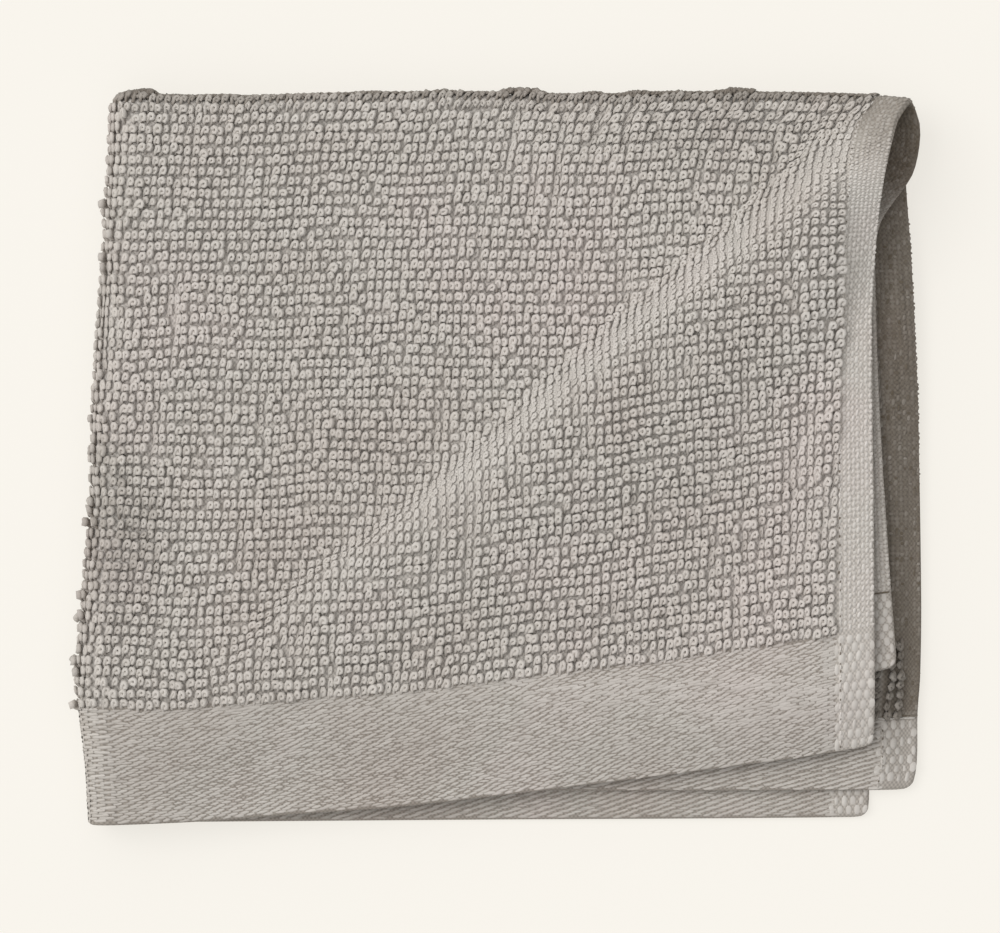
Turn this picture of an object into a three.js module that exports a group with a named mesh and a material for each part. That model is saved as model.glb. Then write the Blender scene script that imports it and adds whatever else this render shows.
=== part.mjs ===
// Folded terry cleaning cloth: one sheet folded twice, four layers lying on a table.
// Lengths in millimetres, +Z up, the cloth rests on z = 0.
import * as THREE from "three";

// Cloth laid flat
const CLOTH_WIDTH = 300;
const CLOTH_LENGTH = 274;

// Thickness of the sheet in each kind of weave
const PILE_THICK = 2.9;
const BORDER_THICK = 1.55;
const HEM_THICK = 1.9;
const HEM_BORDER_THICK = 2.1;
const HEM_WIDTH = 6.7;
const BORDER_WIDTH = 22;
const WEAVE_STEP = 0.9;
const EDGE_ROUND = 0.6;
const EDGE_THIN = 0.5;

// Stack of four layers
const LAYER_PITCH = 3.4;
const TOP_FOLD_RADIUS = LAYER_PITCH / 2;
const LEFT_FOLD_RADIUS = LAYER_PITCH;
const STACK_CENTRE = PILE_THICK / 2 + 1.5 * LAYER_PITCH;
const HALF_WIDTH = CLOTH_WIDTH / 2;
const HALF_LENGTH = CLOTH_LENGTH / 2;
const LEFT_ARC = (Math.PI / 2) * LEFT_FOLD_RADIUS;
const TOP_ARC = (Math.PI / 2) * TOP_FOLD_RADIUS;
const PLAN_WIDTH = HALF_WIDTH - LEFT_ARC + LEFT_FOLD_RADIUS;
const PLAN_LENGTH = HALF_LENGTH - TOP_ARC + TOP_FOLD_RADIUS;
const PLAN_LEFT = 5;
const PLAN_RIGHT = 153;

// The stack sinks where only thin borders lie on each other
const SINK_FROM = 112;
const SINK_TO = 136;
const SINK_SHARE = 0.45;
const SINK_AT_FOLD = 0.5;
const SINK_FOLD_RUN = 0.2;
const SLACK_RUN = 0.25;
const OVERHANG_SINK = 1.5;
const OVERHANG_RUN = 16;
const OVERHANG_FROM = 1;
const HEM_SINK = 0.9;
const HEM_SINK_RUN = 10;
const SECOND_HEM_SINK = 0.4;
const LOWER_FOLD_BACK = 0.6;

// The third layer comes down to the table past the side of the bottom layer
const DROOP_FROM = 0.8;
const DROOP_RUN = 6.5;
const DROOP_SHARE = 0.85;
const DROOP_LEVEL = 1.2;

// Slack of the puffed loop that the second layer shares
const LOOP_SHARE = 0.35;
const LOOP_RUN = 24;
const LOOP_TURN = 8;

// Gentle unevenness of the lying stack
const WAVE_HEIGHT = 0.035;
const WAVE_ACROSS = 17;
const WAVE_DOWN = 21;
const WAVE_START_ACROSS = 0.6;
const WAVE_START_DOWN = 0.4;

// Plan tables: across runs from the left fold to the right, down runs from the top fold to the hem end
const LEFT_FOLD = [
  { down: 0, across: 8.7 },
  { down: 21, across: 7.6 },
  { down: 40, across: 6.3 },
  { down: 65, across: 4.8 },
  { down: 82, across: 4.3 },
  { down: 97, across: 3.1 },
  { down: 115, across: 1.8 },
  { down: 128, across: 3.0 },
  { down: 140, across: 3.7 },
];
const TOP_FOLD = [
  { across: 0, down: 1.6 },
  { across: 24, down: 2.2 },
  { across: 48, down: 1.6 },
  { across: 70, down: 1.4 },
  { across: 91, down: 1.9 },
  { across: 110, down: 1.5 },
  { across: 128, down: 1.6 },
  { across: 143, down: 1.9 },
  { across: 151, down: 2.4 },
  { across: 158, down: 3.4 },
];
const TOP_RIGHT = [
  { down: 0, across: 158.0 },
  { down: 3.2, across: 157.0 },
  { down: 6, across: 155.2 },
  { down: 10, across: 153.9 },
  { down: 14.6, across: 152.8 },
  { down: 19.4, across: 152.0 },
  { down: 25, across: 151.4 },
  { down: 33, across: 150.9 },
  { down: 46, across: 150.5 },
  { down: 78, across: 150.8 },
  { down: 125, across: 151.1 },
];
const SECOND_RIGHT = [
  { down: 0, across: 158.0 },
  { down: 3.2, across: 158.6 },
  { down: 7, across: 159.7 },
  { down: 11, across: 159.6 },
  { down: 15.6, across: 158.6 },
  { down: 18, across: 157.3 },
  { down: 22.6, across: 153.9 },
  { down: 25, across: 152.4 },
  { down: 28, across: 151.6 },
  { down: 33, across: 151.2 },
  { down: 59, across: 152.0 },
  { down: 90, across: 153.9 },
  { down: 110, across: 155.4 },
];
const THIRD_RIGHT = [
  { down: 0, across: 156.6 },
  { down: 18, across: 157.3 },
  { down: 33, across: 158.3 },
  { down: 46, across: 159.0 },
  { down: 63, across: 159.8 },
  { down: 97, across: 160.4 },
  { down: 112, across: 160.2 },
  { down: 119, across: 159.7 },
  { down: 128, across: 159.6 },
  { down: 134, across: 158.8 },
];
const BOTTOM_RIGHT = [
  { down: 0, across: 156.6 },
  { down: 25, across: 155.4 },
  { down: 60, across: 153.6 },
  { down: 100, across: 151.6 },
  { down: 134, across: 150.5 },
  { down: 140, across: 150.4 },
];
const HEM_ENDS = [
  { across: 0, second: 134.9, third: 134.9, bottom: 140 },
  { across: 40, second: 133.5, third: 134.0, bottom: 139.7 },
  { across: 80, second: 126, third: 133.8, bottom: 139.4 },
  { across: 118, second: 118, third: 133.8, bottom: 139.2 },
  { across: 151, second: 110.5, third: 133.6, bottom: 138.9 },
  { across: 162, second: 109.5, third: 133.2, bottom: 138.6 },
];

// Diagonal ridge of the top layer, running into the puffed loop at the top right;
// crest, above and below are measured along the cloth, lift is how far the hem end is drawn up;
// the drawing up is spread over run to each hand of the middle of the steep side
const TOP_END = 140;
const RIDGE = [
  { across: 4, crest: 132, above: 12, below: 14, high: 0, lift: -0.2, run: 4 },
  { across: 25, crest: 122, above: 12, below: 15, high: 0, lift: 0.6, run: 4 },
  { across: 42, crest: 102.4, above: 12, below: 20, high: 0.9, lift: 1.9, run: 4 },
  { across: 61, crest: 89.6, above: 14, below: 28, high: 2.2, lift: 3.2, run: 4.5 },
  { across: 80, crest: 76.7, above: 16, below: 36, high: 3.6, lift: 5.3, run: 6.6 },
  { across: 99, crest: 62.4, above: 18, below: 42, high: 4.8, lift: 7.6, run: 9.5 },
  { across: 118, crest: 49, above: 20, below: 46, high: 5.8, lift: 10, run: 12.5 },
  { across: 130, crest: 39.8, above: 21, below: 46, high: 6.7, lift: 11.6, run: 15 },
  { across: 137, crest: 33.9, above: 22, below: 46, high: 7.4, lift: 12.5, run: 18 },
  { across: 143, crest: 27, above: 22, below: 45, high: 8.2, lift: 13.4, run: 26 },
  { across: 151, crest: 14, above: 20, below: 44, high: 9.2, lift: 14.8, run: 40 },
  { across: 160, crest: 10, above: 20, below: 44, high: 9.6, lift: 15.4, run: 42 },
];
const RIDGE_STANDS = 6;

// Mesh lines along the cloth
const LEFT_FOLD_STEPS = 10;
const TOP_FOLD_STEPS = 8;
const UPPER_COLUMNS = 24;
const LOWER_COLUMNS = 9;
const OUTER_ROWS = 25;
const INNER_ROWS = 14;
const BORDER_STEPS = 3;
const PROBE = 0.05;

const clamp = (value, low, high) => Math.min(high, Math.max(low, value));
const mix = (from, to, share) => from + (to - from) * share;

function smooth(from, to, value) {
  const share = clamp((value - from) / (to - from), 0, 1);
  return share * share * (3 - 2 * share);
}

// Smooth curve through the rows of a table
function read(table, key, at, column) {
  const last = table.length - 1;
  const value = clamp(at, table[0][key], table[last][key]);
  let i = 0;
  while (i < last - 1 && table[i + 1][key] < value) {
    i += 1;
  }
  const slope = (j) => {
    const before = table[Math.max(0, j - 1)];
    const after = table[Math.min(last, j + 1)];
    return (after[column] - before[column]) / (after[key] - before[key]);
  };
  const span = table[i + 1][key] - table[i][key];
  const t = (value - table[i][key]) / span;
  const start = (1 + 2 * t) * (1 - t) * (1 - t) * table[i][column];
  const end = t * t * (3 - 2 * t) * table[i + 1][column];
  const leave = t * (1 - t) * (1 - t) * span * slope(i);
  const arrive = t * t * (t - 1) * span * slope(i + 1);
  return start + end + leave + arrive;
}

// Share of the top pair (1) or bottom pair (0), and of the outer ply (1) or inner ply (0)
function layerShares(u, v) {
  const theta = clamp(u / LEFT_FOLD_RADIUS, -Math.PI / 2, Math.PI / 2);
  const phi = clamp(v / TOP_FOLD_RADIUS, -Math.PI / 2, Math.PI / 2);
  return { upper: 0.5 + 0.5 * Math.sin(theta), outer: 0.5 + 0.5 * Math.sin(phi), theta, phi };
}

function blend(shares, top, second, third, bottom) {
  const upper = mix(second, top, shares.outer);
  const lower = mix(third, bottom, shares.outer);
  return mix(lower, upper, shares.upper);
}

// Distance down the plan of a layer that starts at a fold and ends at a given hem end
function downPlan(start, end, along) {
  const slack = start + PLAN_LENGTH - end;
  return start + along * PLAN_LENGTH - slack * along * smooth(0, SLACK_RUN, along);
}

// Middle of the sheet at u across the cloth and v along it, both measured from the folds
function middle(u, v) {
  const shares = layerShares(u, v);
  const { theta, phi } = shares;
  const beyondTop = Math.max(0, Math.abs(v) - TOP_ARC);
  const beyondLeft = Math.max(0, Math.abs(u) - LEFT_ARC);
  const depth = TOP_FOLD_RADIUS * (1 - Math.cos(phi)) + beyondTop;
  const reach = LEFT_FOLD_RADIUS + TOP_FOLD_RADIUS * Math.sin(phi);
  const out = LEFT_FOLD_RADIUS - reach * Math.cos(theta) + beyondLeft;
  const level = STACK_CENTRE + reach * Math.sin(theta);
  const along = depth / PLAN_LENGTH;
  const over = out / PLAN_WIDTH;

  const guess = mix(PLAN_LEFT, PLAN_RIGHT, over);
  const topDown = read(TOP_FOLD, "across", guess, "down");
  const backDown = topDown + LOWER_FOLD_BACK * (1 - shares.upper);
  const crest = read(RIDGE, "across", guess, "crest");
  const above = read(RIDGE, "across", guess, "above");
  const below = read(RIDGE, "across", guess, "below");
  const high = Math.max(0, read(RIDGE, "across", guess, "high"));
  const lift = read(RIDGE, "across", guess, "lift");
  const natural = along * TOP_END;
  const flank = crest - above / 2;
  const run = read(RIDGE, "across", guess, "run");
  const drawn = lift * smooth(Math.max(0, flank - run), flank + run, natural);
  const down = blend(
    shares,
    downPlan(topDown, TOP_END, along) - drawn,
    downPlan(topDown, read(HEM_ENDS, "across", guess, "second"), along),
    downPlan(backDown, read(HEM_ENDS, "across", guess, "third"), along),
    downPlan(backDown, read(HEM_ENDS, "across", guess, "bottom"), along),
  );

  const left = read(LEFT_FOLD, "down", down, "across");
  const bottomRight = read(BOTTOM_RIGHT, "down", down, "across");
  const right = blend(
    shares,
    read(TOP_RIGHT, "down", down, "across"),
    read(SECOND_RIGHT, "down", down, "across"),
    read(THIRD_RIGHT, "down", down, "across"),
    bottomRight,
  );
  const across = mix(left, right, over);

  const waveAcross = Math.sin(across / WAVE_ACROSS + WAVE_START_ACROSS);
  const waveDown = Math.cos(down / WAVE_DOWN - WAVE_START_DOWN);
  const sinkShare = SINK_SHARE * mix(SINK_AT_FOLD, 1, smooth(0, SINK_FOLD_RUN, over));
  const sink = 1 - sinkShare * smooth(SINK_FROM, SINK_TO, down);
  let z = level * sink * (1 + WAVE_HEIGHT * waveAcross * waveDown);
  const topShare = shares.upper * shares.outer;
  const secondShare = shares.upper * (1 - shares.outer);
  const off = natural - crest;
  const turn = clamp(off < 0 ? off / above : off / below, -1, 1);
  const bump = high * Math.cos((turn * Math.PI) / 2) ** 2;
  const atFold = clamp(-crest / above, -1, 1);
  const loop = high * Math.cos((atFold * Math.PI) / 2) ** 2;
  const fade = 1 - smooth(0, LOOP_RUN, beyondTop);
  z += shares.upper * mix(loop * LOOP_SHARE * fade, bump, smooth(-LOOP_TURN, LOOP_TURN, v));
  const secondEnd = read(HEM_ENDS, "across", across, "second");
  const hang = smooth(0, OVERHANG_RUN, down - secondEnd - OVERHANG_FROM) * Math.max(0, over);
  z -= topShare * OVERHANG_SINK * hang;
  const toEdge = HALF_WIDTH - Math.abs(u);
  const edgeSink = 1 - smooth(0, HEM_SINK_RUN, toEdge);
  const hemShare = (topShare + SECOND_HEM_SINK * secondShare) * (1 - smooth(0, RIDGE_STANDS, bump));
  z -= HEM_SINK * edgeSink * hemShare;
  const past = smooth(0, DROOP_RUN, across - bottomRight - DROOP_FROM);
  z = mix(z, DROOP_LEVEL, DROOP_SHARE * (1 - shares.upper) * (1 - shares.outer) * past);
  return new THREE.Vector3(across, -down, z);
}

// Thickness of the sheet: pile in the field, thin end borders, thin side hems, rounded rim
function thickness(u, v) {
  const toSide = HALF_WIDTH - Math.abs(u);
  const toEnd = HALF_LENGTH - Math.abs(v);
  const hem = 1 - smooth(HEM_WIDTH, HEM_WIDTH + WEAVE_STEP, toSide);
  const border = 1 - smooth(BORDER_WIDTH, BORDER_WIDTH + WEAVE_STEP, toEnd);
  const plain = mix(PILE_THICK, HEM_THICK, hem);
  const woven = mix(BORDER_THICK, HEM_BORDER_THICK, hem);
  const rim = mix(EDGE_THIN, 1, smooth(0, EDGE_ROUND, Math.min(toSide, toEnd)));
  return mix(plain, woven, border) * rim;
}

function spread(from, to, steps) {
  const list = [];
  for (let i = 1; i <= steps; i += 1) {
    list.push(mix(from, to, i / steps));
  }
  return list;
}

// Mesh lines from the end of a fold to the edge, with lines at every change of weave
function halfLines(arc, half, inset, steps, insetSteps) {
  const field = half - inset - WEAVE_STEP;
  const lines = spread(arc, field, steps);
  lines.push(half - inset);
  lines.push(...spread(half - inset, half - EDGE_ROUND, insetSteps));
  lines.push(half);
  return lines;
}

function allLines(arc, plus, minus, foldSteps) {
  const fold = [-arc, ...spread(-arc, arc, foldSteps)];
  const negative = minus.map((value) => -value).reverse();
  return [...negative, ...fold, ...plus];
}

const columns = allLines(
  LEFT_ARC,
  halfLines(LEFT_ARC, HALF_WIDTH, HEM_WIDTH, UPPER_COLUMNS, 1),
  halfLines(LEFT_ARC, HALF_WIDTH, HEM_WIDTH, LOWER_COLUMNS, 1),
  LEFT_FOLD_STEPS,
);
const rows = allLines(
  TOP_ARC,
  halfLines(TOP_ARC, HALF_LENGTH, BORDER_WIDTH, OUTER_ROWS, BORDER_STEPS),
  halfLines(TOP_ARC, HALF_LENGTH, BORDER_WIDTH, INNER_ROWS, BORDER_STEPS),
  TOP_FOLD_STEPS,
);

function sheetPoint(u, v, side) {
  const centre = middle(u, v);
  const alongU = middle(u + PROBE, v).sub(middle(u - PROBE, v));
  const alongV = middle(u, v + PROBE).sub(middle(u, v - PROBE));
  const normal = alongV.cross(alongU).normalize();
  const point = centre.addScaledVector(normal, (side * thickness(u, v)) / 2);
  const underside = side > 0 && u <= -LEFT_ARC && v >= TOP_ARC;
  if (underside) {
    point.z = 0;
  }
  return point;
}

function clothGeometry() {
  const positions = [];
  const index = [];
  const wide = columns.length;
  const long = rows.length;
  const outerAt = (i, j) => i * long + j;
  const innerAt = (i, j) => wide * long + i * long + j;
  for (const side of [1, -1]) {
    for (const u of columns) {
      for (const v of rows) {
        const point = sheetPoint(u, v, side);
        positions.push(point.x, point.y, point.z);
      }
    }
  }
  const quad = (a, b, c, d) => {
    index.push(a, b, c);
    index.push(a, c, d);
  };
  for (let i = 0; i < wide - 1; i += 1) {
    for (let j = 0; j < long - 1; j += 1) {
      quad(outerAt(i, j + 1), outerAt(i + 1, j + 1), outerAt(i + 1, j), outerAt(i, j));
      quad(innerAt(i + 1, j), innerAt(i + 1, j + 1), innerAt(i, j + 1), innerAt(i, j));
    }
  }
  for (let i = 0; i < wide - 1; i += 1) {
    quad(outerAt(i, 0), outerAt(i + 1, 0), innerAt(i + 1, 0), innerAt(i, 0));
    quad(outerAt(i + 1, long - 1), outerAt(i, long - 1), innerAt(i, long - 1), innerAt(i + 1, long - 1));
  }
  for (let j = 0; j < long - 1; j += 1) {
    quad(outerAt(0, j + 1), outerAt(0, j), innerAt(0, j), innerAt(0, j + 1));
    quad(outerAt(wide - 1, j), outerAt(wide - 1, j + 1), innerAt(wide - 1, j + 1), innerAt(wide - 1, j));
  }
  const geometry = new THREE.BufferGeometry();
  geometry.setAttribute("position", new THREE.Float32BufferAttribute(positions, 3));
  geometry.setIndex(index);
  geometry.computeBoundingBox();
  const middleOfBox = geometry.boundingBox.getCenter(new THREE.Vector3());
  geometry.translate(-middleOfBox.x, -middleOfBox.y, 0);
  geometry.computeVertexNormals();
  return geometry;
}

const terry = new THREE.MeshStandardMaterial({ color: 0xa8a099, roughness: 0.95, metalness: 0 });
const cloth = new THREE.Mesh(clothGeometry(), terry);
cloth.name = "cloth";

const part = new THREE.Group();
part.add(cloth);

export default part;
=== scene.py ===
import math

import bpy
import numpy as np
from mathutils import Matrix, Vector


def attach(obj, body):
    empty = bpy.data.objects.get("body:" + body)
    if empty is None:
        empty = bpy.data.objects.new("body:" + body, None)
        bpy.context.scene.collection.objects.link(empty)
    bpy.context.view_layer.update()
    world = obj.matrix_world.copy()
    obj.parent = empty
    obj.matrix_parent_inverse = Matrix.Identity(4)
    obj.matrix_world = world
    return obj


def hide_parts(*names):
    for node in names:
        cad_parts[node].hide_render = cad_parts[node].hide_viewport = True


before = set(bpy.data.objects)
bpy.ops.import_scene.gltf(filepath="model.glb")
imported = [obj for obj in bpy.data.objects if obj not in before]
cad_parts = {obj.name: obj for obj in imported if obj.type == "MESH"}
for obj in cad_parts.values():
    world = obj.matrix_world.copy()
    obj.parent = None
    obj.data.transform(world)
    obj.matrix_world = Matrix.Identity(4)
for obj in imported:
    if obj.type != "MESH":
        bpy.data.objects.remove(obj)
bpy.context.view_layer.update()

MM = 0.001
rng = np.random.default_rng(11)

# Cloth laid flat, in millimetres
CLOTH_WIDTH = 300.0
CLOTH_LENGTH = 274.0
HALF_WIDTH = CLOTH_WIDTH / 2
HALF_LENGTH = CLOTH_LENGTH / 2

# Thickness of the solid sheet in each kind of weave
PILE_THICK = 2.9
BORDER_THICK = 1.55
HEM_THICK = 1.9
HEM_BORDER_THICK = 2.1
HEM_WIDTH = 6.7
BORDER_WIDTH = 22.0
WEAVE_STEP = 0.9

# Thickness of the ground cloth that carries the loops and the weave
GROUND_PILE = 0.9
GROUND_BORDER = 1.3
GROUND_HEM = 1.6
GROUND_HEM_BORDER = 1.7
RIM_THIN = 0.12
CORNER_ROUND = 2.4

# Stack of four layers
LAYER_PITCH = 3.4
TOP_FOLD_RADIUS = LAYER_PITCH / 2
LEFT_FOLD_RADIUS = LAYER_PITCH
STACK_CENTRE = PILE_THICK / 2 + 1.5 * LAYER_PITCH
LEFT_ARC = math.pi / 2 * LEFT_FOLD_RADIUS
TOP_ARC = math.pi / 2 * TOP_FOLD_RADIUS
PLAN_WIDTH = HALF_WIDTH - LEFT_ARC + LEFT_FOLD_RADIUS
PLAN_LENGTH = HALF_LENGTH - TOP_ARC + TOP_FOLD_RADIUS
PLAN_LEFT = 5.0
PLAN_RIGHT = 153.0

# Where the stack sinks, and how much
SINK_FROM = 112.0
SINK_TO = 136.0
SINK_SHARE = 0.45
SINK_AT_FOLD = 0.5
SINK_FOLD_RUN = 0.2
SLACK_RUN = 0.25
OVERHANG_SINK = 1.5
OVERHANG_RUN = 16.0
OVERHANG_START = 1.0
HEM_SINK = 0.9
HEM_SINK_RUN = 10.0
HEM_SINK_CLEAR = 6.0
SECOND_HEM_SINK = 0.4
LOWER_FOLD_BACK = 0.6
LOOP_SHARE = 0.35
LOOP_RUN = 24.0
LOOP_TURN = 8.0
WAVE_HEIGHT = 0.035
WAVE_ACROSS = 17
WAVE_ACROSS_TURN = 0.6
WAVE_DOWN = 21
WAVE_DOWN_TURN = -0.4
DROOP_FROM = 0.8
DROOP_RUN = 6.5
DROOP_SHARE = 0.85
DROOP_LEVEL = 1.2

# Plan tables: across from the left fold to the right, down from the top fold to the hem end
LEFT_FOLD = {
    "down": [0, 21, 40, 65, 82, 97, 115, 128, 140],
    "across": [8.7, 7.6, 6.3, 4.8, 4.3, 3.1, 1.8, 3.0, 3.7],
}
TOP_FOLD = {
    "across": [0, 24, 48, 70, 91, 110, 128, 143, 151, 158],
    "down": [1.6, 2.2, 1.6, 1.4, 1.9, 1.5, 1.6, 1.9, 2.4, 3.4],
}
TOP_RIGHT = {
    "down": [0, 3.2, 6, 10, 14.6, 19.4, 25, 33, 46, 78, 125],
    "across": [158.0, 157.0, 155.2, 153.9, 152.8, 152.0, 151.4, 150.9, 150.5, 150.8, 151.1],
}
SECOND_RIGHT = {
    "down": [0, 3.2, 7, 11, 15.6, 18, 22.6, 25, 28, 33, 59, 90, 110],
    "across": [158.0, 158.6, 159.7, 159.6, 158.6, 157.3, 153.9, 152.4, 151.6, 151.2, 152.0, 153.9, 155.4],
}
THIRD_RIGHT = {
    "down": [0, 18, 33, 46, 63, 97, 112, 119, 128, 134],
    "across": [156.6, 157.3, 158.3, 159.0, 159.8, 160.4, 160.2, 159.7, 159.6, 158.8],
}
BOTTOM_RIGHT = {
    "down": [0, 25, 60, 100, 134, 140],
    "across": [156.6, 155.4, 153.6, 151.6, 150.5, 150.4],
}
HEM_ENDS = {
    "across": [0, 40, 80, 118, 151, 162],
    "second": [134.9, 133.5, 126, 118, 110.5, 109.5],
    "third": [134.9, 134.0, 133.8, 133.8, 133.6, 133.2],
    "bottom": [140, 139.7, 139.4, 139.2, 138.9, 138.6],
}
TOP_END = 140.0
RIDGE = {
    "across": [4, 25, 42, 61, 80, 99, 118, 130, 137, 143, 151, 160],
    "crest": [132, 122, 102.4, 89.6, 76.7, 62.4, 49, 39.8, 33.9, 27, 14, 10],
    "above": [12, 12, 12, 14, 16, 18, 20, 21, 22, 22, 20, 20],
    "below": [14, 15, 20, 28, 36, 42, 46, 46, 46, 45, 44, 44],
    "high": [0, 0, 0.9, 2.2, 3.6, 4.8, 5.8, 6.7, 7.4, 8.2, 9.2, 9.6],
    "lift": [-0.2, 0.6, 1.9, 3.2, 5.3, 7.6, 10.0, 11.6, 12.5, 13.4, 14.8, 15.4],
    "run": [4, 4, 4, 4.5, 6.6, 9.5, 12.5, 15, 18, 26, 40, 42],
    "band": [4, 4, 5, 5.5, 6, 6.5, 7, 8, 9, 10, 10, 10],
}

# Painted light and shade: places where the pile is drawn darker or lighter, in the plan, for the shading of
# the cloth's gentle undulations
PAINTED_PATCHES = {
    "across": [121.6, 10.5, 116, 95, 140.6, 25.6],
    "down": [8, 86, 82, 101, 40, 86],
    "wide": [21, 8.5, 13, 23, 8, 6.6],
    "long": [9.5, 17, 13, 6, 13, 15],
    "tone": [-0.2, -0.26, -0.17, -0.14, 0.3, 0.15],
}

# Mesh of the sheet
PROBE = 0.05
SHEET_PITCH = 2.2
LEFT_FOLD_LINES = 17
TOP_FOLD_LINES = 13
STEP_LINES = (0.6, 0.3, 0.0)
RIM_FROM = 1.2
RIM_LINES = (0.85, 0.5, 0.25, 0.08, 0.0)
FEWEST_LINES = 3
CENTRE_SAMPLES = (601, 549)

# Pile loops
LOOP_ACROSS = 1.55
LOOP_ALONG = 1.96
LOOP_HEIGHT = 1.15
UNDER_HEIGHT = 0.8
YARN_RADIUS = 0.42
YARN_TAPER = {"at": [0, 0.2, 0.8, 1], "share": [0.75, 1, 1.02, 0.8]}
CURL_SIZE = (1.12, 1.08, 1.0)
CURL_KINDS = 12
CURL_JITTER = 0.05
CURL_JITTER_SHARE = (1, 1, 0.6)
PILE_END = 1.0
PILE_END_ALONG = 0.85
PILE_END_INNER = 0.5
ROW_WANDER = {"across": 0.30, "across_step": (14, 22), "along": 0.38, "along_step": (13, 26)}
ROOT_JITTER = (0.09, 0.10)
LIP_LINES = (-0.6, 0.0, 0.6)
LIP_JITTER = 0.15
PRESSED = {"span": (0.75, 1.6), "streak_step": (1.7, 11), "patch_step": (9, 9), "patch_share": 0.6}
LOOP_VARY = {
    "wide": {"mean": 1, "spread": 0.10, "least": 0.7, "most": 1.25, "pressed": -0.25, "band": -0.4},
    "long": {"mean": 1.07, "spread": 0.08, "least": 0.8, "most": 1.3, "pressed": 0.15, "band": 0.2},
    "rise": {"mean": 1, "spread": 0.12, "least": 0.6, "most": 1.35, "pressed": -0.5, "band": -0.78},
}
LOOP_TURN_SPREAD = (-0.14, 0.16)
LOOP_DRIFT = {"share": 0.10, "step": (16, 16)}
LOOP_TILT = 0.16
# Loop tone: root and tip make each loop darker towards its root, which is painted shade between the loops;
# band is painted light on the ridge's steep flank
LOOP_TONE = {"root": 0.32, "tip": 0.32, "band": 0.18, "pressed": -0.06, "spread": 0.05}
LOOP_TIP = 0.9
LEAST_RISE = 0.4
GROUND_YARN = 0.78
GROUND_PICK = 0.98
INNER_BORDER = 14.3
SECOND_BORDER = 18.4
THIRD_HEM = 4.3
THIRD_PILE_FROM = 107.0
BAND_FULL = 3.0
ROLL_RISE = 0.85
TALL_SHARE = 0.07
TALL_RISE = 1.7
# Painted shade on the loops of the left fold's roll
ROLL_PAINTED_SHADE = 0.2
LIP_RUN = 1.8
LUMP_END = (112, 130)
LUMP = {"span": (-0.2, 1.2), "step": (4, 40)}
LIP_RISE = (0.4, 1.1)
# Painted shade on the loops of the top fold's lip
LIP_PAINTED_SHADE = 0.6
# Painted shadow on the third layer's loops under the layers above
UNDER_PAINTED_SHADOW = 0.5
BAND_SHIFT = 2.0
FLOOR_GAP = 0.02

# Tones of the ground cloth and the hems; the dark border tone and the bare hem ground under the floats are
# painted shade in the gaps between floats
SHEET_TONES = (0.85, 0.24, 0.45, 0.55)
BARE_PAINTED_SHADE = 0.72
STRETCH_SPAN = (0.45, 1.7)
# Painted light towards the upper edge of each float
PAINTED_LIT_EDGE = 0.3
# Painted shade of the side hems: the second layer's inner face, darkest inside the puffed corner, the third
# layer's hem in the shadow of the layers above, and the bottom layers
HEM_PAINTED_SHADES = {"second": 0.53, "inside": 0.04, "turn": (-32, -14), "third": 0.10, "bottom": 0.54}
# Painted light and shade along the top hem: darker near the top fold, lightest where the hem falls away below
# the puffed corner
HEM_TOP_LIGHT_AND_SHADE = {
    "along": [-4, 4, 14, 26, 50, 72, 137],
    "tone": [0.28, 0.31, 0.52, 0.96, 0.98, 0.80, 0.80],
}


def mix(start, end, share):
    return start + (end - start) * share


def smooth(start, end, value):
    share = np.clip((value - start) / (end - start), 0, 1)
    return share * share * (3 - 2 * share)


def read(table, key, at, column):
    """Smooth curve through the rows of a table."""
    keys = np.asarray(table[key], float)
    values = np.asarray(table[column], float)
    slopes = np.empty_like(values)
    slopes[1:-1] = (values[2:] - values[:-2]) / (keys[2:] - keys[:-2])
    slopes[0] = (values[1] - values[0]) / (keys[1] - keys[0])
    slopes[-1] = (values[-1] - values[-2]) / (keys[-1] - keys[-2])
    at = np.clip(at, keys[0], keys[-1])
    i = np.clip(np.searchsorted(keys, at) - 1, 0, len(keys) - 2)
    span = keys[i + 1] - keys[i]
    t = (at - keys[i]) / span
    start = (1 + 2 * t) * (1 - t) ** 2 * values[i]
    end = t * t * (3 - 2 * t) * values[i + 1]
    leave = t * (1 - t) ** 2 * span * slopes[i]
    arrive = t * t * (t - 1) * span * slopes[i + 1]
    return start + end + leave + arrive


def down_plan(start, end, along):
    slack = start + PLAN_LENGTH - end
    return start + along * PLAN_LENGTH - slack * along * smooth(0, SLACK_RUN, along)


def round_corners(u, v):
    """Draws the four corners of the cloth in to a small round."""
    p = np.clip(1 - (HALF_WIDTH - np.abs(u)) / CORNER_ROUND, 0, None)
    q = np.clip(1 - (HALF_LENGTH - np.abs(v)) / CORNER_ROUND, 0, None)
    pulled_u = CORNER_ROUND * p * (1 - np.sqrt(np.clip(1 - q * q / 2, 0, 1)))
    pulled_v = CORNER_ROUND * q * (1 - np.sqrt(np.clip(1 - p * p / 2, 0, 1)))
    return u - np.sign(u) * pulled_u, v - np.sign(v) * pulled_v


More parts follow.
